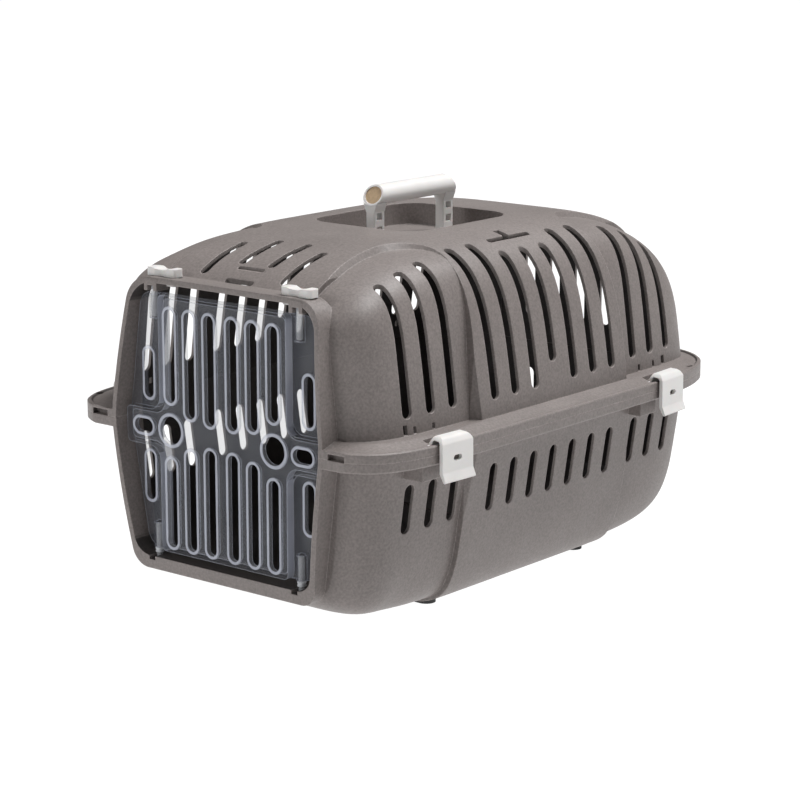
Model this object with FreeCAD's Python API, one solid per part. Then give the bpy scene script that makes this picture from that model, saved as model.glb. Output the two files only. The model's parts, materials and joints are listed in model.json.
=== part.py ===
"""Pet transport carrier: two moulded half shells, a clear hinged door, side clips and a handle.

Frame: +Z up from the surface that the feet stand on, -Y towards the door end, +X the right-hand
side seen from the door.  The origin is at the middle of the footprint.  Lengths are millimetres.
"""
import FreeCAD, Part
import math
import os

V = FreeCAD.Vector
os.makedirs("parts", exist_ok=True)

# ---- driving dimensions -------------------------------------------------------------------------
PARTING_Z = 136.0          # plane where the two half shells meet
WALL = 2.5                 # moulded wall thickness
VENT_MID_Y = -6.0          # middle of the vent rows, and of the whole body
FRONT_Y = -224.0           # foremost point of the door frame
DOME_RISE = 131.0          # roof crown above the parting plane
TUB_DEPTH = 132.0          # underside below the parting plane
DRAFT = 0.15               # how far the side walls lean in, per millimetre of height
PANEL_DRAFT = 0.13         # the same for the upper end panels
PANEL_STEP = 8.0           # how far the upper end panels of the sides lie inside the middle band
TUB_PANEL_STEP = 4.5       # and the lower ones
ROOF_STEP = 5.0            # and how far they lie below it on the roof

BAND_HALF_WIDTH = 140.0    # half width of the middle band at the parting plane
FRONT_REACH = 205.0        # from the vent middle to where the front corners would close
REAR_REACH = 210.0
CORNER_POWER = 8.0         # squareness of the corners in plan

RIM_HALF_WIDTH = 156.0
RIM_FRONT_REACH = 224.0
RIM_REAR_REACH = 230.0
RIM_FRONT_POWER = 7.0      # squareness of the rim's ears in plan
RIM_REAR_POWER = 4.7
RIM_TOP_Z = 142.8          # top of the bead along the rim's edge
RIM_BOTTOM_Z = 129.0
RIM_ROOT_Z = 145.5         # where the rim's upper face runs out on the wall

VENT_PITCH = 24.0
VENT_WIDTH = 9.4
END_VENT_OFFSETS = (111.0, 135.0, 159.0)
LOWER_VENT_Z = (75.0, 111.0)
UPPER_VENT_BOTTOM_Z = 157.0
REAR_VENT_X = (12.5, 37.5)
CENTRE_VENT_BOTTOM_Z = 173.0

PIN_X = 69.0               # the door's hinge pins
PIN_Y = -210.0
PIN_R = 2.4
BORE_R = 2.5
SILL_Z = 36.0              # bottom of the door opening
LINTEL_Z = 237.0           # top of the door opening
FRAME_TOP_Z = 241.0
FRAME_BOTTOM_Z = 26.0
FRAME_BACK_Y = -197.0
FRAME_WALL = 3.5
EAR_HOLES = ((145.0, -187.0), (140.0, 174.0))      # X, and offset from the vent middle
WALL_NOTCHES = ((-162.0, 4.0, 153.0), (-153.0, 3.0, 151.0), (-134.0, 3.0, 150.5),
                (118.0, 3.0, 151.0), (138.0, 3.0, 151.0), (152.0, 4.5, 152.5))

RAISED_Y = -215.5          # front face of the door's raised panel
WING_Y = -209.0            # front face of its side wings
DOOR_THICK = 2.8
DOOR_GAP = 1.5
SLOT_X = (10.9, 30.0, 49.2)
SLOT_W = 9.6
BEAD_W = 2.0
BEAD_H = 1.0

CLIP_LENGTH = 32.0
CLIP_OFFSETS = (-144.0, 122.0)   # along Y from the vent middle
CLIP_HINGE_INSET = 7.0           # hinge axis inside the rim's outer edge
CLIP_HINGE_Z = 141.0
CLIP_BARREL_R = 2.2
CLIP_PEG_R = 1.3
CLIP_PEG_CLEARANCE = 0.08
CLIP_PEG = 2.5                   # length of each peg beyond the clip's end

CLIP_RIBS = ((-173.0, -154.0, 6.0), (88.0, 108.0, 6.0))    # Y from, Y to, inset from the rim's edge

CATCH_Y = PIN_Y + 6.0
CATCH_SHANK_X = (54.0, 57.0)
CATCH_TRAVEL = 6.0
CATCH_GAP = 0.4

GRIP_HALF_LOW = 47.5       # half length of the grip along its underside
GRIP_HALF_HIGH = 39.5      # and along its top
GRIP_MID_Z = 287.6
GRIP_RX = 9.0
GRIP_RZ = 7.6
GRIP_WALL = 1.5
ARM_Y = 41.0
RECESS_HALF_X = 52.0
RECESS_HALF_Y = 62.0
RECESS_CORNER = 22.0
RECESS_FLOOR_Z = 250.0

FOOT_X = 77.0
FOOT_OFFSETS = (-82.0, 102.0)       # along Y from the vent middle


# ---- small helpers ------------------------------------------------------------------------------
def box(x0, x1, y0, y1, z0, z1):
    """Box between two corners."""
    return Part.makeBox(x1 - x0, y1 - y0, z1 - z0, V(x0, y0, z0))


def mirror_x(shape):
    return shape.mirror(V(0, 0, 0), V(1, 0, 0))


def mirror_mid_y(shape):
    return shape.mirror(V(0, VENT_MID_Y, 0), V(0, 1, 0))


def polygon_face(points):
    return Part.Face(Part.makePolygon([V(*p) for p in points] + [V(*points[0])]))


def rounded_outline(corners, to_point):
    """Closed wire through (u, v, radius) corners, each rounded by an arc; to_point maps to space."""
    edges = []
    count = len(corners)
    ends = []
    for i, (u, v, radius) in enumerate(corners):
        pu, pv, _ = corners[i - 1]
        nu, nv, _ = corners[(i + 1) % count]
        a = V(pu - u, pv - v, 0).normalize()
        b = V(nu - u, nv - v, 0).normalize()
        half = a.getAngle(b) / 2.0
        run = radius / math.tan(half)
        bisector = (a + b).normalize()
        mid = V(u, v, 0) + bisector * (radius / math.sin(half) - radius)
        ends.append((V(u, v, 0) + a * run, mid, V(u, v, 0) + b * run))
    for i, (start, mid, stop) in enumerate(ends):
        following = ends[(i + 1) % count][0]
        s, m, e, f = (to_point(p.x, p.y) for p in (start, mid, stop, following))
        edges.append(Part.Arc(s, m, e).toShape())
        if e.distanceToPoint(f) > 1e-6:
            edges.append(Part.LineSegment(e, f).toShape())
    return Part.Wire(edges)


def prism(wire, direction):
    return Part.Face(wire).extrude(direction)


def stadium(u0, u1, v0, v1, to_point):
    """Wire of a slot with round ends along its longer side."""
    radius = min(u1 - u0, v1 - v0) / 2.0 - 0.01
    corners = [(u0, v0, radius), (u1, v0, radius), (u1, v1, radius), (u0, v1, radius)]
    return rounded_outline(corners, to_point)


def in_xz(y):
    return lambda u, v: V(u, y, v)


def in_yz(x):
    return lambda u, v: V(x, u, v)


def in_xy(z):
    return lambda u, v: V(u, v, z)


def ease(value):
    value = max(0.0, min(1.0, value))
    return value * value * (3.0 - 2.0 * value)


def fade(distance, reach, power):
    """Superellipse falling from 1 at distance 0 to 0 at its reach."""
    return (1.0 - min(1.0, abs(distance) / reach) ** power) ** (1.0 / power)


def export(shape, node):
    if shape.ShapeType == "Compound" and len(shape.Solids) == 1:
        shape = shape.Solids[0]
    shape.exportStep("parts/" + node + ".step")
    print(node, "solids", len(shape.Solids), "valid", shape.isValid(), "volume", round(shape.Volume))


# ---- the moulded skins --------------------------------------------------------------------------
DOME_FRONT_REACH, DOME_REAR_REACH, DOME_POWER = 218.5, 212.0, 4.0
TUB_FRONT_REACH, TUB_REAR_REACH, TUB_POWER = 217.0, 214.0, 6.0
SECTION_POINTS = 25
END_FRACTION = 0.985       # the lofts stop just short of their reach, with a small flat cap


def section_wire(y, half_width, height, squareness, draft):
    """Half of a superellipse over the parting plane at y; a negative height hangs below it."""
    size = abs(height)
    points = []
    params = []
    for i in range(SECTION_POINTS):
        angle = math.pi * i / (SECTION_POINTS - 1)
        c, s = math.cos(angle), math.sin(angle)
        r = (abs(c) ** squareness + abs(s) ** squareness) ** (-1.0 / squareness)
        rise = size * r * s
        lean = 1.0 - draft * rise / half_width
        z = PARTING_Z + math.copysign(rise, height)
        points.append(V(half_width * r * c * lean, y, z if 0 < i < SECTION_POINTS - 1 else PARTING_Z))
        params.append(i / (SECTION_POINTS - 1))
    curve = Part.BSplineCurve()
    curve.interpolate(Points=points, Parameters=params)
    return Part.Wire([curve.toShape(), Part.LineSegment(points[-1], points[0]).toShape()])


def skin(half_width, height, squareness, reaches, height_reaches, height_power, inset, draft=DRAFT,
         rear_softening=0.0):
    """Closed solid of one half of the body; inset shrinks it evenly to make the inner skin."""
    front, rear = (reach - inset for reach in reaches)
    wires = []
    angles = [-90 + 180.0 * i / 18 for i in range(19)]
    for angle in angles:
        along = math.sin(math.radians(angle)) * END_FRACTION
        reach = front if along < 0 else rear
        across = (half_width - inset) * fade(along, 1.0, CORNER_POWER)
        high_reach = height_reaches[0] if along < 0 else height_reaches[1]
        rise = (abs(height) - inset) * fade(along * reach, high_reach - inset, height_power)
        near_front = ease((-along - 0.72) / 0.25)
        near_rear = ease((along - 0.5) / 0.3)
        square = squareness + 2.0 * near_front - rear_softening * near_rear
        lean = draft * (1.0 - 0.4 * near_front)
        y = VENT_MID_Y + along * reach
        wires.append(section_wire(y, across, math.copysign(rise, height), square, lean))
    return Part.makeLoft(wires, True, False)


def end_prism(levels):
    """Region of one end panel: a tapered column between plan outlines (z, side_x, end_y, edge_y)."""
    wires = []
    for z, side_x, end_y, edge_y in levels:
        radius = 34.0
        a = V(side_x, end_y - radius, z)
        b = V(side_x + radius * (1 - math.sqrt(0.5)), end_y - radius * (1 - math.sqrt(0.5)), z)
        c = V(side_x + radius, end_y, z)
        points = [c, V(131, end_y, z), V(150, edge_y, z), V(210, edge_y, z), V(210, -270, z),
                  V(side_x, -270, z), a]
        edges = [Part.Arc(a, b, c).toShape()]
        edges += [Part.LineSegment(p, q).toShape() for p, q in zip(points, points[1:])]
        wires.append(Part.Wire(edges))
    return Part.makeLoft(wires, True, True)


def dome(inset):
    """Upper half: the full crowned skin, with the four side end panels set back."""
    reaches = (FRONT_REACH, REAR_REACH)
    heights = (DOME_FRONT_REACH, DOME_REAR_REACH)
    proud = skin(BAND_HALF_WIDTH, DOME_RISE, 5.2, reaches, heights, DOME_POWER, inset,
                 rear_softening=0.8)
    panel = skin(BAND_HALF_WIDTH - PANEL_STEP, DOME_RISE - ROOF_STEP, 7.5,
                 (FRONT_REACH - 0.6, REAR_REACH - 0.6), (DOME_FRONT_REACH - 2, DOME_REAR_REACH - 2),
                 DOME_POWER, inset, PANEL_DRAFT, 2.6)
    low, high = VENT_MID_Y - 100 + inset, VENT_MID_Y - 84 + inset
    column = end_prism([(100, 70 - inset, low, low + 19), (250, 70 - inset, high, high + 4),
                        (275, 52 - inset, high + 8, high + 10)])
    columns = []
    for shape in (column, mirror_x(column)):
        columns += [shape, mirror_mid_y(shape)]
    return proud.cut(columns).fuse(panel)


def tub(inset):
    """Lower half, with the walls of its two ends set back."""
    reaches = (FRONT_REACH, REAR_REACH)
    heights = (TUB_FRONT_REACH, TUB_REAR_REACH)
    proud = skin(BAND_HALF_WIDTH, -TUB_DEPTH, 8.0, reaches, heights, TUB_POWER, inset)
    panel = skin(BAND_HALF_WIDTH - TUB_PANEL_STEP, -(TUB_DEPTH - 1.6), 8.0,
                 (FRONT_REACH - 0.6, REAR_REACH - 0.6), (TUB_FRONT_REACH - 1, TUB_REAR_REACH - 1),
                 TUB_POWER, inset)
    y0 = VENT_MID_Y - 101 + inset
    outline = [(-210, y0 + 19, 0), (-150, y0 + 19, 0), (-131, y0, 0), (131, y0, 0),
               (150, y0 + 19, 0), (210, y0 + 19, 0), (210, -270, 0), (-210, -270, 0)]
    column = polygon_face(outline).extrude(V(0, 0, 150)).translate(V(0, 0, -5))
    return proud.cut([column, mirror_mid_y(column)]).fuse(panel)


# ---- rim, door frame and vents ------------------------------------------------------------------
def rim_half_width(y):
    """Half width of the rim's outer edge at y."""
    along = y - VENT_MID_Y
    reach = RIM_FRONT_REACH if along < 0 else RIM_REAR_REACH
    return RIM_HALF_WIDTH * fade(along, reach, RIM_FRONT_POWER if along < 0 else RIM_REAR_POWER)


def rim_wire(z, inset):
    """Closed plan outline of the rim at z."""
    points = []
    count = 72
    for i in range(count):
        angle = 2 * math.pi * i / count
        c, s = math.cos(angle), math.sin(angle)
        power = RIM_FRONT_POWER if s < 0 else RIM_REAR_POWER
        r = (abs(c) ** power + abs(s) ** power) ** (-1.0 / power)
        reach = RIM_FRONT_REACH if s < 0 else RIM_REAR_REACH
        points.append(V((RIM_HALF_WIDTH - inset) * r * c, VENT_MID_Y + (reach - inset) * r * s, z))
    curve = Part.BSplineCurve()
    params = [i / count for i in range(count + 1)]
    curve.interpolate(Points=points, PeriodicFlag=True, Parameters=params)
    return Part.Wire([curve.toShape()])


def rim(levels):
    return Part.makeLoft([rim_wire(z, inset) for z, inset in levels], True, True)


def frame_outline(offset, y, bottom, top):
    """Outline of the door frame, or of its opening when offset inwards."""
    corners = [(86.5 - offset * 0.9, bottom, 14.0), (100.5 - offset, 131, 30.0),
               (100.5 - offset, 145, 30.0), (89.5 - offset * 0.9, top, 20.0)]
    corners += [(-x, z, r) for x, z, r in reversed(corners)]
    return rounded_outline(corners, in_xz(y))


def opening_prism():
    return prism(frame_outline(FRAME_WALL, -260, SILL_Z, LINTEL_Z), V(0, 80, 0))


def frame_ring():
    """The door frame: a picture-frame collar standing out of the front wall."""
    return prism(frame_outline(0, -240, FRAME_BOTTOM_Z, FRAME_TOP_Z), V(0, FRAME_BACK_Y + 240, 0))


def front_trim():
    """Everything in front of the frame's gently bowed front face."""
    top = V(-150, FRONT_Y + 12, 250)
    mid = V(-150, FRONT_Y, 139)
    low = V(-150, FRONT_Y + 8, 20)
    far_top, far_low = V(-150, -300, 250), V(-150, -300, 20)
    edges = [Part.Arc(top, mid, low).toShape(), Part.LineSegment(low, far_low).toShape(),
             Part.LineSegment(far_low, far_top).toShape(), Part.LineSegment(far_top, top).toShape()]
    return Part.Face(Part.Wire(edges)).extrude(V(300, 0, 0))


def half_space(z0, z1):
    return box(-200, 200, -300, 300, z0, z1)


def vent_positions():
    """(offset, kind) of every side vent along Y, from the vent middle."""
    middle = [(i * VENT_PITCH, "band") for i in range(-3, 4)]
    ends = [(sign * offset, "end") for sign in (-1, 1) for offset in END_VENT_OFFSETS]
    return middle + ends


def lower_vents():
    tools = []
    z0, z1 = LOWER_VENT_Z
    for offset, _ in vent_positions():
        y = VENT_MID_Y + offset
        wire = stadium(y - VENT_WIDTH / 2, y + VENT_WIDTH / 2, z0, z1, in_yz(100))
        tools.append(prism(wire, V(70, 0, 0)))
    return tools + [mirror_x(tool) for tool in tools]


UPPER_VENT_TOP_X = {0: 107.5, 1: 107.5, 2: 95.0, 3: 95.0}
END_VENT_TOP_X = {111.0: 98.0, 135.0: 100.5, 159.0: 102.5}


def upper_vents():
    """Long slots that run from low on the wall up over the shoulder."""
    tools = []
    half = VENT_WIDTH / 2
    for offset, kind in vent_positions():
        y = VENT_MID_Y + offset
        if kind == "band":
            top_x = UPPER_VENT_TOP_X[round(abs(offset) / VENT_PITCH)]
        else:
            top_x = END_VENT_TOP_X[abs(offset)]
        bottom = CENTRE_VENT_BOTTOM_Z if offset == 0 else UPPER_VENT_BOTTOM_Z
        side = prism(stadium(y - half, y + half, bottom, 300, in_yz(60)), V(120, 0, 0))
        plan = prism(stadium(top_x - half, 200, y - half, y + half, in_xy(140)), V(0, 0, 160))
        tools.append(side.common(plan))
    return tools + [mirror_x(tool) for tool in tools]


def roof_vents():
    """Lengthwise and crosswise slots at both ends of the roof, and the seat-belt notches."""
    tools = []
    for x, y0, y1 in ((38.0, -187.0, -141.0), (13.8, -173.0, -129.0)):
        for sign in (-1, 1):
            slot = stadium(sign * x - 3.6, sign * x + 3.6, VENT_MID_Y + y0, VENT_MID_Y + y1, in_xy(200))
            tool = prism(slot, V(0, 0, 90))
            tools += [tool, mirror_mid_y(tool)]
    for y, length, width in ((-176.8, 25.0, 3.6), (-189.5, 26.5, 4.0)):
        slot = stadium(-length / 2, length / 2, VENT_MID_Y + y - width / 2, VENT_MID_Y + y + width / 2,
                       in_xy(200))
        tools.append(prism(slot, V(0, 0, 90)))
    for sign in (-1, 1):
        bar = stadium(92 * sign - 2.4, 92 * sign + 2.4, VENT_MID_Y - 25, VENT_MID_Y + 25, in_xy(200))
        inner, outer = sorted((80 * sign, 92 * sign))
        tools += [prism(bar, V(0, 0, 90)), box(inner, outer, VENT_MID_Y - 3.5, VENT_MID_Y + 3.5, 200, 290)]
    return tools


def rear_vents(z0, z1):
    tools = []
    for x in REAR_VENT_X:
        for mid in (-x, x):
            wire = stadium(mid - VENT_WIDTH / 2, mid + VENT_WIDTH / 2, z0, z1, in_xz(172))
            tools.append(prism(wire, V(0, 70, 0)))
    return tools


# ---- clips: places on the rim -------------------------------------------------------------------
def clip_places():
    """(name, side, point on the rim's outer edge, unit tangent, unit outward) for each clip."""
    places = []
    for end, offset in zip(("front", "rear"), CLIP_OFFSETS):
        y = VENT_MID_Y + offset
        x = rim_half_width(y)
        slope = (rim_half_width(y + 5) - rim_half_width(y - 5)) / 10.0
        for side, sign in (("right", 1), ("left", -1)):
            tangent = V(sign * slope, 1, 0).normalize()
            outward = V(sign, -slope, 0).normalize()
            places.append((end + "_" + side, sign, V(sign * x, y, 0), tangent, outward))
    return places


def placed(shape, origin, tangent, outward):
    """Put a shape drawn with +X outward and +Y along the rim at a place on the rim."""
    up = V(0, 0, 1)
    if outward.cross(tangent).dot(up) < 0:
        shape = shape.mirror(V(0, 0, 0), V(0, 1, 0))
        tangent = tangent * -1
    matrix = FreeCAD.Matrix(outward.x, tangent.x, 0, origin.x,
                            outward.y, tangent.y, 0, origin.y,
                            0, 0, 1, origin.z,
                            0, 0, 0, 1)
    return shape.transformGeometry(matrix)


def rod_along_y(x, z, radius, y0, y1):
    return Part.makeCylinder(radius, y1 - y0, V(x, y0, z), V(0, 1, 0))


def clip_pocket():
    """Recess in the rim for a clip's hinge barrel, with the two peg holes at its ends."""
    half = CLIP_LENGTH / 2 + 0.4
    reach = half + CLIP_PEG + 0.3
    radius = CLIP_BARREL_R + 1.8
    pocket = rod_along_y(-CLIP_HINGE_INSET, CLIP_HINGE_Z, radius, -half, half)
    above = box(-CLIP_HINGE_INSET - 6.6, -1.2, -half, half, CLIP_HINGE_Z, 160)
    holes = rod_along_y(-CLIP_HINGE_INSET, CLIP_HINGE_Z, CLIP_PEG_R + CLIP_PEG_CLEARANCE, -reach, reach)
    return pocket.fuse([above, holes])


def clip_shape():
    """Side clip: hinge barrel, strap over the rim's ridge, cheek down its face, thumb lip."""
    half = CLIP_LENGTH / 2
    outline = [(-8.0, 143.0, 0.6), (-5.4, 148.6, 2.2), (1.6, 147.8, 4.5), (4.4, 143.5, 2.0),
               (4.6, 123.5, 3.0), (7.2, 117.2, 0.9), (5.8, 116.4, 0.7), (1.9, 122.8, 2.0),
               (1.7, 143.6, 1.2), (0.2, 145.2, 1.0), (-4.6, 145.6, 0.8), (-5.6, 141.5, 0.6)]
    body = prism(rounded_outline(outline, lambda u, v: V(u, -half, v)), V(0, CLIP_LENGTH, 0))
    face = rounded_outline([(-half, 116, 1.5), (half, 116, 1.5), (half, 149.0, 7.0), (-half, 149.0, 7.0)],
                           in_yz(-20))
    body = body.common(prism(face, V(40, 0, 0)))
    barrel = rod_along_y(-CLIP_HINGE_INSET, CLIP_HINGE_Z, CLIP_BARREL_R, -half, half)
    reach = half + CLIP_PEG
    pegs = rod_along_y(-CLIP_HINGE_INSET, CLIP_HINGE_Z, CLIP_PEG_R, -reach, reach)
    window = prism(stadium(-4.2, 4.2, 130.6, 134.6, in_yz(-1)), V(8, 0, 0))
    return body.fuse([barrel, pegs]).cut(window)


# ---- shells -------------------------------------------------------------------------------------
def ear_windows(z0, z1):
    """Hook windows in the front faces of the rim's corners."""
    return [box(sign * 113 - 7.5, sign * 113 + 7.5, -232, -219.5, z0, z1) for sign in (-1, 1)]


def ear_holes():
    """Small blind slots in the tops of the rim's four ears."""
    tools = []
    for x, offset in EAR_HOLES:
        y = VENT_MID_Y + offset
        tools += [box(sign * x - 1.2, sign * x + 1.2, y - 4, y + 4, 139.5, 150) for sign in (-1, 1)]
    return tools


def wall_notches():
    """Small upright pockets moulded in the foot of the wall behind each clip."""
    tools = []
    for offset, width, top in WALL_NOTCHES:
        y = VENT_MID_Y + offset
        tool = box(122, 152, y - width / 2, y + width / 2, RIM_ROOT_Z + 0.8, top)
        tools += [tool, mirror_x(tool)]
    return tools


def pin_bores(z0, z1, notch_z0, notch_z1):
    """Blind bores on the door pins' axes, each with a notch that is open to the front."""
    tools = []
    for sign in (-1, 1):
        tools.append(Part.makeCylinder(BORE_R, z1 - z0, V(sign * PIN_X, PIN_Y, z0)))
        half = PIN_R + 0.6
        x = sign * PIN_X
        tools.append(Part.makeCylinder(half, notch_z1 - notch_z0, V(x, PIN_Y, notch_z0)))
        tools.append(box(x - half, x + half, -240, PIN_Y, notch_z0, notch_z1))
    return tools


def recess_prism(grow, z0, z1):
    """Upright prism of the roof recess's rounded rectangle."""
    x, y, r = RECESS_HALF_X + grow, RECESS_HALF_Y + grow, RECESS_CORNER + grow
    corners = [(-x, VENT_MID_Y - y, r), (x, VENT_MID_Y - y, r), (x, VENT_MID_Y + y, r),
               (-x, VENT_MID_Y + y, r)]
    return prism(rounded_outline(corners, in_xy(z0)), V(0, 0, z1 - z0))


def catch_slots():
    """Slots in the frame's top for the shanks of the sliding catches."""
    x0, x1 = CATCH_SHANK_X[0] - CATCH_TRAVEL - CATCH_GAP, CATCH_SHANK_X[1] + CATCH_GAP
    slot = box(x0, x1, CATCH_Y - 1.5 - CATCH_GAP, CATCH_Y + 1.5 + CATCH_GAP, 235, 242)
    return [slot, mirror_x(slot)]


def open_front(solid):
    return solid.cut([opening_prism(), front_trim()])


def make_upper_shell():
    outer, inner = dome(0), dome(WALL)
    flange = rim([(PARTING_Z, 0.0), (RIM_TOP_Z - 0.9, 0.0), (RIM_TOP_Z, 0.9), (RIM_TOP_Z, 2.3),
                  (RIM_TOP_Z - 1.2, 3.4), (RIM_TOP_Z - 0.4, 7.0), (RIM_ROOT_Z, 15.5)])
    solid = open_front(outer.cut(inner).fuse(flange.cut(inner)))
    solid = solid.fuse(open_front(frame_ring().common(half_space(PARTING_Z, 300))))
    cup = recess_prism(WALL, RECESS_FLOOR_Z - WALL, 290).common(outer)
    solid = solid.fuse(cup).cut(recess_prism(0, RECESS_FLOOR_Z, 290))
    bosses = []
    for sign in (-1, 1):
        x = sign * PIN_X
        bosses.append(box(x - 6, x + 6, FRONT_Y + 9.5, PIN_Y + 8, 231, 239.5))
    solid = solid.fuse(bosses)
    arm_slots = [box(-4.6, 4.6, VENT_MID_Y + s * ARM_Y - 6.6, VENT_MID_Y + s * ARM_Y + 6.6, 240, 255)
                 for s in (-1, 1)]
    solid = solid.cut(upper_vents())
    solid = solid.cut(roof_vents() + arm_slots)
    solid = solid.cut(rear_vents(157.5, 224) + ear_windows(PARTING_Z - 1, 140.4) + ear_holes())
    solid = solid.cut(pin_bores(235, 239.4, 230, 235) + catch_slots() + wall_notches())
    pockets = [placed(clip_pocket(), origin, tangent, outward)
               for _, _, origin, tangent, outward in clip_places()]
    return solid.cut(pockets)


def clip_ribs():
    """Short blocks that stiffen the rim from below beside each clip."""
    tools = []
    for y0, y1, inset in CLIP_RIBS:
        x = min(rim_half_width(y0), rim_half_width(y1)) - inset
        tool = box(100, x, y0, y1, 117, RIM_BOTTOM_Z + 1)
        tools += [tool, mirror_x(tool)]
    return tools


def make_lower_shell():
    outer, inner = tub(0), tub(WALL)
    flange = rim([(RIM_BOTTOM_Z, 0.8), (RIM_BOTTOM_Z + 1, 0.0), (PARTING_Z, 0.0)])
    ribs = [rib.cut(inner) for rib in clip_ribs()]
    solid = open_front(outer.cut(inner).fuse(flange.cut(inner)).fuse(ribs))
    solid = solid.fuse(open_front(frame_ring().common(half_space(0, PARTING_Z))))
    return solid.cut(lower_vents() + rear_vents(76, 113)).cut(pin_bores(29, 33, 33, 60))


# ---- door ---------------------------------------------------------------------------------------
def door_outline(y, shrink):
    gap = FRAME_WALL + DOOR_GAP + shrink
    corners = [(84.0 - gap * 0.9, 41.0 + shrink, 12.0), (100.5 - gap, 131, 30.0),
               (100.5 - gap, 145, 30.0), (88.0 - gap * 0.9, 229.5 - shrink, 12.0)]
    corners += [(-x, z, r) for x, z, r in reversed(corners)]
    return rounded_outline(corners, in_xz(y))


def raised_outline(y, shrink):
    """Cross-shaped field of the door that stands forward of its four corner wings."""
    s = shrink
    quarter = [(61 - s, 41 + s, 4.0), (61 - s, 118 + s, 10.0), (94 - s, 118 + s, 4.0)]
    upper = [(94 - s, 145 - s, 4.0), (61 - s, 145 - s, 10.0), (61 - s, 229.5 - s, 4.0)]
    right = quarter + upper
    corners = right + [(-x, z, r) for x, z, r in reversed(right)]
    return rounded_outline(corners, in_xz(y))


def door_slots():
    """(x0, x1, z0, z1, raised) of every slot in the door; the round holes are separate."""
    slots = []
    upper_bottom = (140.5, 143.0, 152.3)
    lower_top = (123.0, 119.5, 111.0)
    for x, low, high in zip(SLOT_X, upper_bottom, lower_top):
        slots.append((x - SLOT_W / 2, x + SLOT_W / 2, low, 220.0, True))
        slots.append((x - SLOT_W / 2, x + SLOT_W / 2, 45.5, high, True))
    slots.append((67.4, 85.4, 126.8, 137.2, True))
    slots.append((72.2, 81.0, 151.5, 187.5, False))
    slots.append((72.2, 81.0, 75.5, 111.5, False))
    return slots


def make_door():
    back = RAISED_Y + DOOR_THICK
    wing = prism(door_outline(WING_Y, 0), V(0, DOOR_THICK, 0))
    raised = prism(raised_outline(RAISED_Y, 0), V(0, WING_Y + DOOR_THICK - RAISED_Y, 0))
    raised = raised.common(prism(door_outline(RAISED_Y, 0), V(0, 12, 0)))
    hollow = prism(raised_outline(back, DOOR_THICK), V(0, 12, 0))
    solid = wing.fuse([raised])
    hollow_keep = hollow.common(prism(door_outline(back, DOOR_THICK), V(0, 12, 0)))
    solid = solid.cut([hollow_keep])
    beads, tools = [], []
    for x0, x1, z0, z1, on_raised in door_slots():
        face_y = RAISED_Y if on_raised else WING_Y
        for sign in (-1, 1):
            a, b = sorted((sign * x0, sign * x1))
            bead = stadium(a - BEAD_W, b + BEAD_W, z0 - BEAD_W, z1 + BEAD_W, in_xz(face_y - BEAD_H))
            beads.append(prism(bead, V(0, BEAD_H + 0.6, 0)))
            tools.append(prism(stadium(a, b, z0, z1, in_xz(-230)), V(0, 40, 0)))
    for sign in (-1, 1):
        centre = V(sign * 49.4, RAISED_Y - BEAD_H, 132)
        beads.append(Part.makeCylinder(12.6, BEAD_H + 0.6, centre, V(0, 1, 0)))
        tools.append(Part.makeCylinder(10.3, 40, centre - V(0, 10, 0), V(0, 1, 0)))
    sleeves = []
    bores = []
    for sign in (-1, 1):
        for z0, z1 in ((42, 60), (211, 228.5)):
            sleeves.append(Part.makeCylinder(4.0, z1 - z0, V(sign * PIN_X, PIN_Y, z0)))
            bores.append(Part.makeCylinder(PIN_R, z1 - z0 + 2, V(sign * PIN_X, PIN_Y, z0 - 1)))
    return solid.fuse(beads + sleeves).cut(tools + bores).removeSplitter()


def make_pin(z0, z1, sign):
    pin = Part.makeCylinder(PIN_R, z1 - z0, V(sign * PIN_X, PIN_Y, z0))
    return pin.makeChamfer(0.5, [e for e in pin.Edges if isinstance(e.Curve, Part.Circle)])


# ---- catches, handle and feet -------------------------------------------------------------------
def make_catch(sign):
    """Bone-shaped sliding catch on the frame's top edge, over a door pin."""
    y = CATCH_Y
    low = FRAME_TOP_Z + 0.1
    outline = [(50, y - 4.8, 3.0), (58, y - 5.2, 4.0), (63.5, y - 3.2, 5.0), (69, y - 5.6, 4.0),
               (78, y - 5.6, 3.5), (78, y + 5.2, 3.5), (69, y + 5.2, 4.0), (63.5, y + 3.2, 5.0),
               (58, y + 5.0, 4.0), (50, y + 4.8, 3.0)]
    body = prism(rounded_outline(outline, in_xy(low)), V(0, 0, 5.8))
    saddle = Part.makeCylinder(18, 20, V(63.5, y - 10, low + 5.8 + 16.6), V(0, 1, 0))
    x0, x1 = CATCH_SHANK_X
    shank = box(x0, x1, y - 1.5, y + 1.5, 235, low + 1)
    foot = box(x0 - 2, x1 + 2, y - 4, y + 4, 234.4, 236.6)
    shape = body.cut(saddle).fuse([shank, foot])
    return shape if sign > 0 else mirror_x(shape)


def ellipse_prism(rx, rz, y0, y1, z):
    edge = Part.Ellipse(V(0, 0, 0), max(rx, rz), min(rx, rz)).toShape()
    wire = Part.Wire([edge])
    if rx < rz:
        wire.rotate(V(0, 0, 0), V(0, 0, 1), 90)
    wire.rotate(V(0, 0, 0), V(1, 0, 0), 90)
    wire.translate(V(0, y0, z))
    return Part.Face(wire).extrude(V(0, y1 - y0, 0))


def slanted_ends(half_low, half_high, z0, z1):
    """Block whose two ends slope, longer at z0 than at z1."""
    points = [(0, VENT_MID_Y - half_low, z0), (0, VENT_MID_Y + half_low, z0),
              (0, VENT_MID_Y + half_high, z1), (0, VENT_MID_Y - half_high, z1)]
    return polygon_face(points).extrude(V(60, 0, 0)).translate(V(-30, 0, 0))


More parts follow.
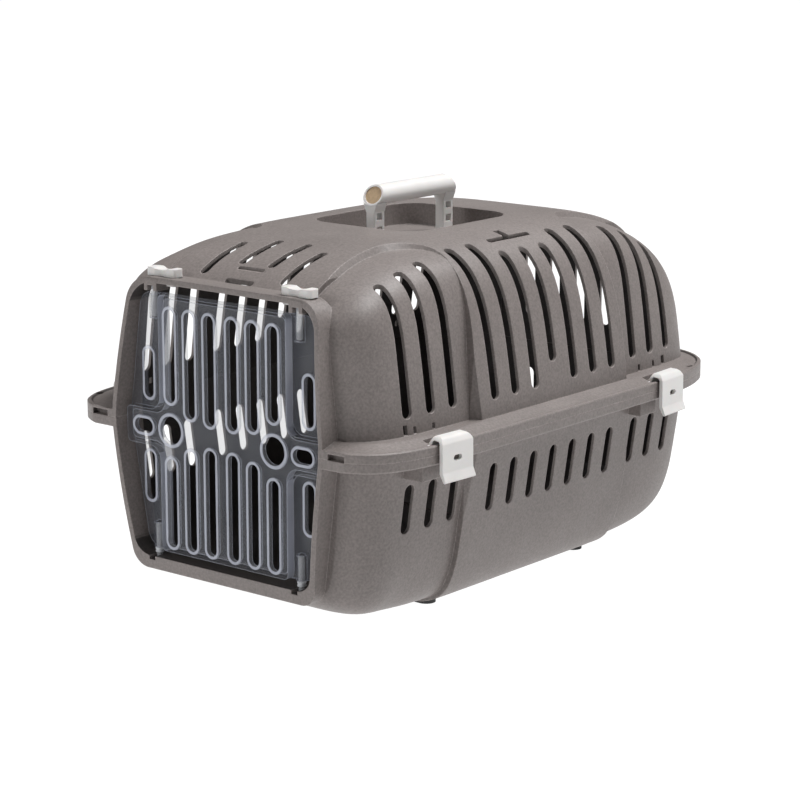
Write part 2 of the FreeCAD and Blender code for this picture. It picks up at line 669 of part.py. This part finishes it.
def make_grip():
    y0, y1 = VENT_MID_Y - 56, VENT_MID_Y + 56
    low, high = GRIP_MID_Z - GRIP_RZ, GRIP_MID_Z + GRIP_RZ
    tube = ellipse_prism(GRIP_RX, GRIP_RZ, y0, y1, GRIP_MID_Z)
    tube = tube.common(slanted_ends(GRIP_HALF_LOW, GRIP_HALF_HIGH, low - 0.1, high + 0.1))
    bore = ellipse_prism(GRIP_RX - GRIP_WALL, GRIP_RZ - GRIP_WALL, y0 - 5, y1 + 5, GRIP_MID_Z)
    return tube.cut(bore)


def make_core():
    """Core that fills the grip to just short of its slanted ends."""
    y0, y1 = VENT_MID_Y - 56, VENT_MID_Y + 56
    rod = ellipse_prism(GRIP_RX - GRIP_WALL, GRIP_RZ - GRIP_WALL, y0, y1, GRIP_MID_Z)
    low, high = GRIP_MID_Z - GRIP_RZ, GRIP_MID_Z + GRIP_RZ
    return rod.common(slanted_ends(GRIP_HALF_LOW - 0.8, GRIP_HALF_HIGH - 0.8, low - 0.1, high + 0.1))


def make_arm(sign):
    """Strap from the grip down through the recess floor, with ladder windows and a stop foot."""
    y = VENT_MID_Y + sign * ARM_Y
    top = GRIP_MID_Z
    outline = [(-4, y - 6, 0.8), (4, y - 6, 0.8), (4, y + 6, 0.8), (-4, y + 6, 0.8)]
    strap = prism(rounded_outline(outline, in_xy(244)), V(0, 0, top - 244))
    flare = [(-GRIP_RX + 0.6, GRIP_MID_Z), (GRIP_RX - 0.6, GRIP_MID_Z), (3.9, 275), (-3.9, 275)]
    neck = polygon_face([(x, y - 6, z) for x, z in flare]).extrude(V(0, 12, 0))
    tube = ellipse_prism(GRIP_RX, GRIP_RZ, y - 20, y + 20, GRIP_MID_Z)
    foot = box(-7.5, 7.5, y - 6, y + 6, 241.5, 245.5)
    windows = [box(-12, 12, y - 3.1, y + 3.1, z, z + 5.2) for z in (248.6, 258.9, 269.1)]
    return strap.fuse([neck, foot]).cut(windows).cut(tube)


def make_foot(y_mid, sign, tub_solid):
    """Dark rubber foot under the tub."""
    x = sign * FOOT_X
    pad = prism(stadium(x - 12, x + 12, y_mid - 7, y_mid + 7, in_xy(0)), V(0, 0, 16))
    return pad.cut(tub_solid)


upper_shell = make_upper_shell()
export(upper_shell, "upper_shell")
lower_shell = make_lower_shell()
export(lower_shell, "lower_shell")
export(make_door(), "door_panel")
for side_name, side in (("right", 1), ("left", -1)):
    longer = 4.0 if side > 0 else 0.0
    export(make_pin(33.5 - longer, 59, side), "door_pin_lower_" + side_name)
    export(make_pin(212, 234.5 + longer, side), "door_pin_upper_" + side_name)
    export(make_catch(side), "door_catch_" + side_name)
for place, _, origin_point, along_rim, out_of_rim in clip_places():
    export(placed(clip_shape(), origin_point, along_rim, out_of_rim), "clip_" + place)
export(make_grip(), "handle_grip")
export(make_core(), "handle_core")
export(make_arm(-1), "handle_arm_front")
export(make_arm(1), "handle_arm_rear")
tub_solid = tub(0)
for end_name, foot_offset in zip(("front", "rear"), FOOT_OFFSETS):
    for side_name, side in (("right", 1), ("left", -1)):
        foot = make_foot(VENT_MID_Y + foot_offset, side, tub_solid)
        export(foot, "foot_" + end_name + "_" + side_name)
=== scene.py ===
"""Looks of a pet transport carrier: grained shells, a clear slotted door, pale clips and a handle.

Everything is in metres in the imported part's frame: +Z up from the floor, -Y towards the door.
"""
import json
import math

import bmesh
import bpy
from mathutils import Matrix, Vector


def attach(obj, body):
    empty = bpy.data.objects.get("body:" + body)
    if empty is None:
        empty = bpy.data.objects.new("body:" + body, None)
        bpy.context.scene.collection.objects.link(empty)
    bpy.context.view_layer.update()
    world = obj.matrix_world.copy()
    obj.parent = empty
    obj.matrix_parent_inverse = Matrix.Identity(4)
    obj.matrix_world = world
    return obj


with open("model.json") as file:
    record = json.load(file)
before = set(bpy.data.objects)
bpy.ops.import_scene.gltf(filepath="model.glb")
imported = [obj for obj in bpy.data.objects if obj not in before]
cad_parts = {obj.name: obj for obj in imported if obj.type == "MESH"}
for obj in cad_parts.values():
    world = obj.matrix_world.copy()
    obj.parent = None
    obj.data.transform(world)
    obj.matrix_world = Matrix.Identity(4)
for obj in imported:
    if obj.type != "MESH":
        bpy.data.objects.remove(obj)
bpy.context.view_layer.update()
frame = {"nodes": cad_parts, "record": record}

# ---- driving values -----------------------------------------------------------------------------
CAMERA_AZIMUTH = 39.347        # degrees round from straight in front, towards +X
CAMERA_ELEVATION = 12.613
CAMERA_DISTANCE = 1.93769
CAMERA_TARGET = Vector((0.0, -0.01825, 0.12713))
CAMERA_LENS = 114.45           # millimetres, on a 36 mm sensor

TAUPE = (0.210, 0.184, 0.175)
OFF_WHITE = (0.76, 0.745, 0.73)
BEIGE = (0.50, 0.36, 0.22)
RUBBER = (0.035, 0.035, 0.035)
DOOR_TINT = (0.20, 0.21, 0.245)
PIN_FROSTED = (0.72, 0.74, 0.78)
PIN_ALPHA, COLLAR_ALPHA = 0.4, 0.9

# Bounds of the cabin, whose inside faces get painted shade.
PARTING_Z = 0.136              # plane where the two shells meet
CABIN_HALF_X = 0.098           # the cabin's walls lie beyond these distances from its middle
CABIN_HALF_Y = 0.185
CABIN_HALF_Z = 0.085
PAINTED_INSIDE_SHADE = 0.30             # painted shade: part of the plastic's colour left on the faces of the inside

# Where the door's painted highlights go: its beads, the steps of its raised field and its front
# edges.
RAISED_BEAD_Y = -0.2161        # only the beads on the door's raised field stand in front of this
WING_BEAD_Y = -0.2100          # front of the beads on the door's wings
WING_BEAD_BAND = 0.0002        # half the width of the band round that plane
STEP_X = 0.0600                # upright steps between the raised field and the wings
STEP_BAND = 0.0026
OUTLINED_Y = -0.2085           # the door's edges in front of this get a painted highlight outline
FACING_FRONT = 0.9             # how squarely a bead's front faces along Y
FACING_ASIDE = 0.6             # a step's wall faces along Y less than this

COLLAR_PLACE = (0.069, -0.210, 0.0372)     # foot of the right-hand pin collar
COLLAR_PROFILE = ((0.0025, 0.0), (0.0033, 0.0004), (0.0034, 0.0011), (0.0029, 0.0017),
                  (0.0029, 0.0023), (0.0034, 0.0029), (0.0033, 0.0036), (0.0025, 0.0040))

FLOOR_REACH = 40.0
FLOOR_BASE = 0.12
FLOOR_GLOW = 1.0                           # lifts the floor to the photograph's white
SKY_LEAN = (0.05, 0.15, 0.98)              # direction in which the studio is brightest
SKY_DIM, SKY_BRIGHT = 0.32, 2.4
SKY_DIM_AT, SKY_BRIGHT_AT = -0.35, 0.95    # along the lean, from -1 to 1
LIGHTS = (("key", (0.55, 0.6, 2.3), (1.4, 1.4), 72.0),        # name, place, size and power
          ("front", (-1.1, -2.3, 1.5), (1.2, 1.0), 22.0))


# ---- node helpers -------------------------------------------------------------------------------
class Graph:
    """A material's node tree, with short calls for the nodes used here."""

    def __init__(self, name):
        self.material = bpy.data.materials.new(name)
        self.material.use_nodes = True
        self.tree = self.material.node_tree
        self.shader = self.tree.nodes["Principled BSDF"]
        self.place = self.tree.nodes.new("ShaderNodeTexCoord").outputs["Object"]

    def add(self, kind, **values):
        node = self.tree.nodes.new(kind)
        for name, value in values.items():
            setattr(node, name, value)
        return node

    def join(self, source, target):
        self.tree.links.new(source, target)

    def surface(self, colour, roughness, normal):
        """Joins up the shader's colour, roughness and normal."""
        for name, source in (("Base Color", colour), ("Roughness", roughness), ("Normal", normal)):
            self.join(source, self.shader.inputs[name])

    def split(self, vector):
        """A vector's x, y and z."""
        node = self.add("ShaderNodeSeparateXYZ")
        self.join(vector, node.inputs[0])
        return node.outputs

    def true_normal(self):
        return self.add("ShaderNodeNewGeometry").outputs["True Normal"]

    def noise(self, size, detail=2.0, roughness=0.5):
        """Noise whose features are about size metres across."""
        node = self.add("ShaderNodeTexNoise")
        node.inputs["Scale"].default_value = 1.0 / size
        node.inputs["Detail"].default_value = detail
        node.inputs["Roughness"].default_value = roughness
        self.join(self.place, node.inputs["Vector"])
        return node.outputs["Fac"]

    def spread(self, value, low, high, from_low=0.3, from_high=0.7):
        """Maps a value's usual range onto low to high."""
        node = self.add("ShaderNodeMapRange")
        node.inputs["From Min"].default_value = from_low
        node.inputs["From Max"].default_value = from_high
        node.inputs["To Min"].default_value = low
        node.inputs["To Max"].default_value = high
        self.join(value, node.inputs["Value"])
        return node.outputs["Result"]

    def drift(self, size, low, high, detail=2.0):
        """A value that drifts between low and high, in patches about size metres across."""
        return self.spread(self.noise(size, detail), low, high)

    def math(self, operation, a, b=None):
        node = self.add("ShaderNodeMath", operation=operation)
        for socket, value in zip(node.inputs, (a, b)):
            if hasattr(value, "is_linked"):
                self.join(value, socket)
            elif value is not None:
                socket.default_value = value
        return node.outputs[0]

    def scaled(self, colour, factor):
        """A constant colour times a factor that varies over the surface."""
        node = self.add("ShaderNodeMix", data_type="RGBA", blend_type="MULTIPLY")
        node.inputs["Factor"].default_value = 1.0
        node.inputs[6].default_value = (*colour, 1.0)
        grey = self.add("ShaderNodeCombineColor")
        for socket in grey.inputs[:3]:
            self.join(factor, socket)
        self.join(grey.outputs["Color"], node.inputs[7])
        return node.outputs[2]

    def rounded(self, radius):
        """Normals of the surface with its edges rounded to radius."""
        node = self.add("ShaderNodeBevel", samples=6)
        node.inputs["Radius"].default_value = radius
        return node.outputs["Normal"]

    def bump(self, height, depth, strength, normal=None):
        node = self.add("ShaderNodeBump")
        node.inputs["Strength"].default_value = strength
        node.inputs["Distance"].default_value = depth
        self.join(height, node.inputs["Height"])
        if normal is not None:
            self.join(normal, node.inputs["Normal"])
        return node.outputs["Normal"]

    def edge(self, rounded):
        """Mask for painted edge highlights: 0 on flat ground, rising at edges, from how far the
        rounded normal turns.
        """
        dot = self.add("ShaderNodeVectorMath", operation="DOT_PRODUCT")
        self.join(rounded, dot.inputs[0])
        self.join(self.true_normal(), dot.inputs[1])
        return self.spread(dot.outputs["Value"], 1.0, 0.0, 0.75, 0.98)


# ---- materials ----------------------------------------------------------------------------------
def painted_inside_shade_mask(graph):
    """Where shade is painted: 1 on the faces that look into the cabin, 0 on the rest of a shell."""
    x, y, z = graph.split(graph.place)
    facing = graph.split(graph.true_normal())
    height = graph.math("SUBTRACT", z, PARTING_Z)
    total = None
    for place, limit, normal in zip((x, y, height), (CABIN_HALF_X, CABIN_HALF_Y, CABIN_HALF_Z),
                                    facing):
        towards = graph.math("MULTIPLY", graph.math("SIGN", place), normal)
        inward = graph.math("MULTIPLY", towards, -1.0)
        outer = graph.math("GREATER_THAN", graph.math("ABSOLUTE", place), limit)
        part = graph.math("MULTIPLY", inward, outer)
        total = part if total is None else graph.math("MAXIMUM", total, part)
    return graph.spread(total, 0.0, 1.0, 0.15, 0.35)


def shell_plastic():
    """Matt moulded plastic with a fine spark-eroded grain, painted highlights on its edges and
    painted shade on the faces inside the cabin.
    """
    g = Graph("shell_plastic")
    mottle = g.drift(0.05, 0.94, 1.06, detail=3.0)
    speck = g.drift(0.0018, 0.84, 1.16)
    rounded = g.rounded(0.0013)
    # Painted highlight: edges are made up to 1.75 times brighter.
    edge = g.spread(g.edge(rounded), 1.0, 1.75, 0.0, 1.0)
    # Painted shade: faces inside the cabin keep only part of the plastic's colour.
    painted_inside_shade = g.spread(painted_inside_shade_mask(g), 1.0, PAINTED_INSIDE_SHADE, 0.0, 1.0)
    factor = g.math("MULTIPLY", g.math("MULTIPLY", mottle, speck), g.math("MULTIPLY", edge, painted_inside_shade))
    grain = g.noise(0.0009, detail=3.0, roughness=0.65)
    g.surface(g.scaled(TAUPE, factor), g.drift(0.03, 0.44, 0.53),
              g.bump(grain, 0.00022, 0.6, rounded))
    g.shader.inputs["Specular IOR Level"].default_value = 0.5
    return g.material


def light_plastic():
    """Satin off-white plastic of the clips, catches and handle, with a faint painted highlight on
    its edges.
    """
    g = Graph("light_plastic")
    mottle = g.drift(0.02, 0.97, 1.02, detail=3.0)
    rounded = g.rounded(0.0007)
    # Painted highlight: edges are made up to 1.05 times brighter.
    edge = g.spread(g.edge(rounded), 1.0, 1.05, 0.0, 1.0)
    g.surface(g.scaled(OFF_WHITE, g.math("MULTIPLY", mottle, edge)), g.drift(0.01, 0.32, 0.42),
              g.bump(g.noise(0.001), 0.0001, 0.3, rounded))
    g.shader.inputs["Subsurface Weight"].default_value = 0.05
    g.shader.inputs["Subsurface Scale"].default_value = 0.002
    return g.material


def door_highlight_masks(graph):
    """Masks of the painted highlights on the beads round the door's slots, its raised field's step,
    and its front edges.
    """
    x, y, _ = graph.split(graph.place)
    flat = graph.math("ABSOLUTE", graph.split(graph.true_normal())[1])
    raised = graph.math("LESS_THAN", y, RAISED_BEAD_Y)
    from_wing = graph.math("ABSOLUTE", graph.math("ADD", y, -WING_BEAD_Y))
    wing = graph.math("LESS_THAN", from_wing, WING_BEAD_BAND)
    bead_highlight = graph.math("MULTIPLY", graph.math("MAXIMUM", raised, wing),
                      graph.math("GREATER_THAN", flat, FACING_FRONT))
    wall = graph.math("LESS_THAN", flat, FACING_ASIDE)
    beside = graph.math("ABSOLUTE", graph.math("SUBTRACT", graph.math("ABSOLUTE", x), STEP_X))
    step_highlight = graph.math("MULTIPLY", wall, graph.math("LESS_THAN", beside, STEP_BAND))
    outline_highlight = graph.math("MULTIPLY", graph.math("LESS_THAN", y, OUTLINED_Y),
                         graph.edge(graph.rounded(0.0015)))
    return bead_highlight, step_highlight, outline_highlight


def clear_plastic():
    """Clear door plastic: a smoky blue tint, with painted highlights that make its beads, step and
    front edges brighter and more opaque.
    """
    g = Graph("clear_plastic")
    bead_highlight, step_highlight, outline_highlight = door_highlight_masks(g)
    sheen = g.add("ShaderNodeLayerWeight")
    sheen.inputs["Blend"].default_value = 0.35
    rounded = g.rounded(0.0006)
    # Painted highlights: beads, outlines and steps are made up to 3.7 times brighter and more
    # opaque.
    highlight_line = g.math("MAXIMUM", g.math("MULTIPLY", bead_highlight, 0.78), g.math("MULTIPLY", outline_highlight, 0.8))
    edge = g.math("MAXIMUM", highlight_line, g.math("MULTIPLY", step_highlight, 0.7))
    cloud = g.drift(0.03, 0.92, 1.08)
    tint_and_highlights = g.scaled(DOOR_TINT, g.math("MULTIPLY", cloud, g.spread(edge, 1.0, 3.7, 0.0, 1.0)))
    cover_with_highlights = g.math("ADD", g.spread(edge, 0.085, 0.72, 0.0, 1.0),
                   g.math("MULTIPLY", sheen.outputs["Fresnel"], 0.22))
    g.join(g.math("MINIMUM", cover_with_highlights, 1.0), g.shader.inputs["Alpha"])
    g.surface(tint_and_highlights, g.drift(0.02, 0.05, 0.11),
              g.bump(g.noise(0.03, detail=1.0), 0.0004, 0.2, rounded))
    g.shader.inputs["IOR"].default_value = 1.5
    g.shader.inputs["Specular IOR Level"].default_value = 1.0
    return g.material


def pin_plastic(name, alpha):
    """Frosted clear plastic of the door's pins and their collars."""
    g = Graph(name)
    g.surface(g.scaled(PIN_FROSTED, g.drift(0.003, 0.92, 1.05)), g.drift(0.004, 0.15, 0.3),
              g.bump(g.noise(0.001), 0.0001, 0.3, g.rounded(0.0004)))
    g.shader.inputs["Alpha"].default_value = alpha
    return g.material


def core_material():
    """Warm beige core inside the grip, faintly streaked along its length."""
    g = Graph("beige_core")
    streak = g.add("ShaderNodeMapping")
    streak.inputs["Scale"].default_value = (1.0, 0.12, 1.0)
    g.join(g.place, streak.inputs["Vector"])
    g.place = streak.outputs["Vector"]
    g.surface(g.scaled(BEIGE, g.drift(0.0025, 0.85, 1.12, detail=3.0)), g.drift(0.002, 0.55, 0.7),
              g.bump(g.noise(0.002), 0.0002, 0.4))
    return g.material


def rubber():
    """Dark rubber of the feet, with a dusty fine grain."""
    g = Graph("foot_rubber")
    g.surface(g.scaled(RUBBER, g.drift(0.004, 0.8, 1.3, detail=3.0)), g.drift(0.006, 0.6, 0.8),
              g.bump(g.noise(0.0008), 0.0002, 0.5, g.rounded(0.0008)))
    return g.material


def dress_cad_nodes():
    """Gives each CAD node the material of its slot in the record."""
    looks = {"shell": shell_plastic(), "light_plastic": light_plastic(),
             "clear_door": clear_plastic(), "clear_pins": pin_plastic("pin_plastic", PIN_ALPHA),
             "core": core_material(), "feet": rubber()}
    slots = {row["node"]: row["material_slot"] for row in frame["record"]["subparts"]}
    for node, piece in frame["nodes"].items():
        for place in piece.material_slots:
            place.material = looks[slots[node]]


# ---- pieces added to the CAD ---------------------------------------------------------------------
def lathed(name, profile, place, sides=40):
    """A closed mesh turned about a vertical axis at place, from (radius, height) pairs."""
    x, y, z = place
    mesh = bpy.data.meshes.new(name)
    shape = bmesh.new()
    rings = []
    for radius, height in profile:
        ring = []
        for i in range(sides):
            turn = 2 * math.pi * i / sides
            ring.append(shape.verts.new((x + radius * math.cos(turn), y + radius * math.sin(turn),
                                         z + height)))
        rings.append(ring)
    for lower, upper in zip(rings, rings[1:]):
        for i in range(sides):
            j = (i + 1) % sides
            shape.faces.new((lower[i], lower[j], upper[j], upper[i]))
    shape.faces.new(list(reversed(rings[0])))
    shape.faces.new(rings[-1])
    shape.to_mesh(mesh)
    shape.free()
    mesh.shade_smooth()
    piece = bpy.data.objects.new(name, mesh)
    bpy.context.scene.collection.objects.link(piece)
    return piece


def add_pin_collars():
    """Ribbed collars on the door's lower pins, between the door and the sill."""
    look = pin_plastic("collar_plastic", COLLAR_ALPHA)
    x, y, z = COLLAR_PLACE
    for side, sign in (("right", 1), ("left", -1)):
        collar = lathed("pin_collar_" + side, COLLAR_PROFILE, (sign * x, y, z))
        collar.data.materials.append(look)
        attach(collar, "door")


# ---- stage, light and camera --------------------------------------------------------------------
def make_floor():
    """Matt floor out to the horizon."""
    mesh = bpy.data.meshes.new("floor")
    reach = FLOOR_REACH
    corners = [(-reach, -reach, 0), (reach, -reach, 0), (reach, reach, 0), (-reach, reach, 0)]
    mesh.from_pydata(corners, [], [(0, 1, 2, 3)])
    floor = bpy.data.objects.new("floor", mesh)
    bpy.context.scene.collection.objects.link(floor)
    g = Graph("floor_white")
    g.shader.inputs["Base Color"].default_value = (FLOOR_BASE, FLOOR_BASE, FLOOR_BASE, 1.0)
    g.shader.inputs["Roughness"].default_value = 0.9
    g.shader.inputs["Specular IOR Level"].default_value = 0.1
    g.shader.inputs["Emission Color"].default_value = (1.0, 1.0, 1.0, 1.0)
    g.shader.inputs["Emission Strength"].default_value = FLOOR_GLOW
    mesh.materials.append(g.material)


def make_world():
    """Pale studio, bright above and dimmer round the horizon."""
    world = bpy.data.worlds.new("studio")
    bpy.context.scene.world = world
    world.use_nodes = True
    tree = world.node_tree
    background = tree.nodes["Background"]
    place = tree.nodes.new("ShaderNodeTexCoord").outputs["Generated"]
    lean = tree.nodes.new("ShaderNodeVectorMath")
    lean.operation = "DOT_PRODUCT"
    lean.inputs[1].default_value = SKY_LEAN
    tree.links.new(place, lean.inputs[0])
    ramp = tree.nodes.new("ShaderNodeMapRange")
    ramp.interpolation_type = "SMOOTHSTEP"
    ramp.inputs["From Min"].default_value = SKY_DIM_AT
    ramp.inputs["From Max"].default_value = SKY_BRIGHT_AT
    ramp.inputs["To Min"].default_value = SKY_DIM
    ramp.inputs["To Max"].default_value = SKY_BRIGHT
    tree.links.new(lean.outputs["Value"], ramp.inputs["Value"])
    tree.links.new(ramp.outputs["Result"], background.inputs["Strength"])


def area_light(name, place, size, power):
    """Soft light turned towards the middle of the object."""
    light = bpy.data.lights.new(name, "AREA")
    light.shape = "RECTANGLE"
    light.size, light.size_y = size
    light.energy = power
    lamp = bpy.data.objects.new(name, light)
    bpy.context.scene.collection.objects.link(lamp)
    lamp.location = place
    aim = CAMERA_TARGET - Vector(place)
    lamp.rotation_euler = aim.to_track_quat("-Z", "Y").to_euler()


def make_camera():
    """Camera at the photograph's viewing angle."""
    data = bpy.data.cameras.new("camera")
    camera = bpy.data.objects.new("camera", data)
    bpy.context.scene.collection.objects.link(camera)
    azimuth, elevation = math.radians(CAMERA_AZIMUTH), math.radians(CAMERA_ELEVATION)
    back = Vector((math.sin(azimuth) * math.cos(elevation),
                   -math.cos(azimuth) * math.cos(elevation), math.sin(elevation)))
    data.sensor_width = 36.0
    data.lens = CAMERA_LENS
    camera.location = CAMERA_TARGET + back * CAMERA_DISTANCE
    camera.rotation_euler = (-back).to_track_quat("-Z", "Y").to_euler()
    bpy.context.scene.camera = camera


dress_cad_nodes()
add_pin_collars()
make_floor()
make_world()
for light in LIGHTS:
    area_light(*light)
make_camera()
bpy.context.scene.view_settings.view_transform = "Standard"
